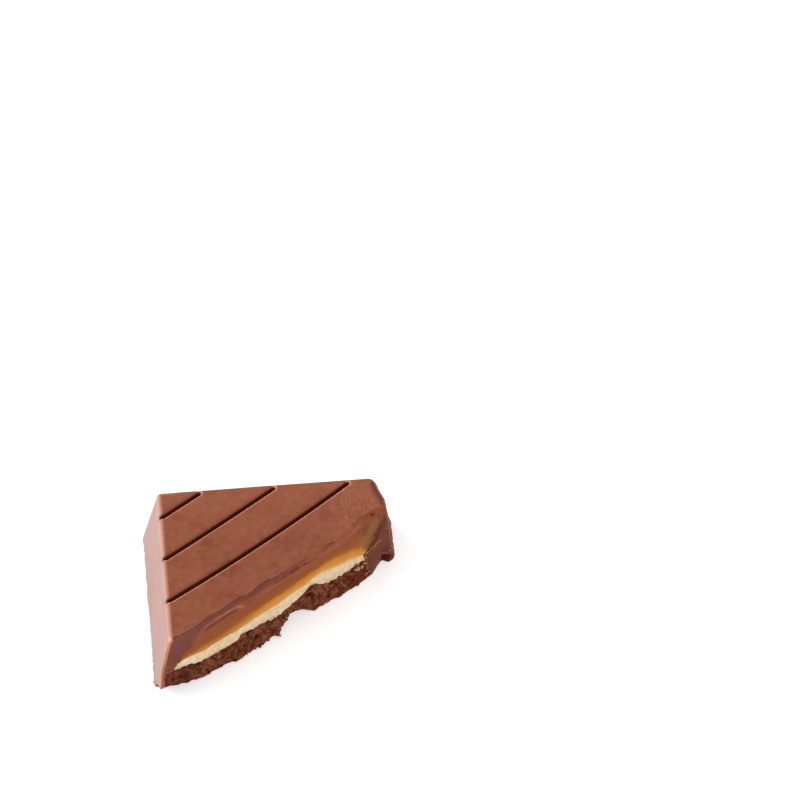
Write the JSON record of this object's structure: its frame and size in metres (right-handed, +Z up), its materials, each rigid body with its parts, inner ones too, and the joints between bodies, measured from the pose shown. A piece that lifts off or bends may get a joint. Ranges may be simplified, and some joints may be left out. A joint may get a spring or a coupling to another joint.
{
  "type": "cut half of a filled chocolate candy",
  "caption": "Snapped half of a square milk chocolate candy with slanted grooves on top, filled with caramel, cream cheese and a dark cocoa crumb base.",
  "frame": {"origin": "middle of the footprint, on the surface the candy lies on", "axes": "+X to the right along the candy's longest side, +Y away from the snapped face towards the back side, +Z up"},
  "size_m": [0.033, 0.0294, 0.0105],
  "materials": {
    "milk_chocolate": "moulded milk chocolate, satin with a faint pale bloom; smooth and dull where it snapped",
    "caramel": "soft golden caramel, moist and slightly see-through",
    "cheese_cream": "ivory cream cheese filling, matt and slightly grainy",
    "cocoa_crumb": "pressed dark cocoa cookie crumb, rough and dry with small pits and lighter grains"
  },
  "bodies": {
    "root": {"milk_chocolate_shell": "milk_chocolate", "caramel_layer": "caramel", "cheese_cream_layer": "cheese_cream", "cocoa_crumb_base": "cocoa_crumb"}
  },
  "joints": []
}
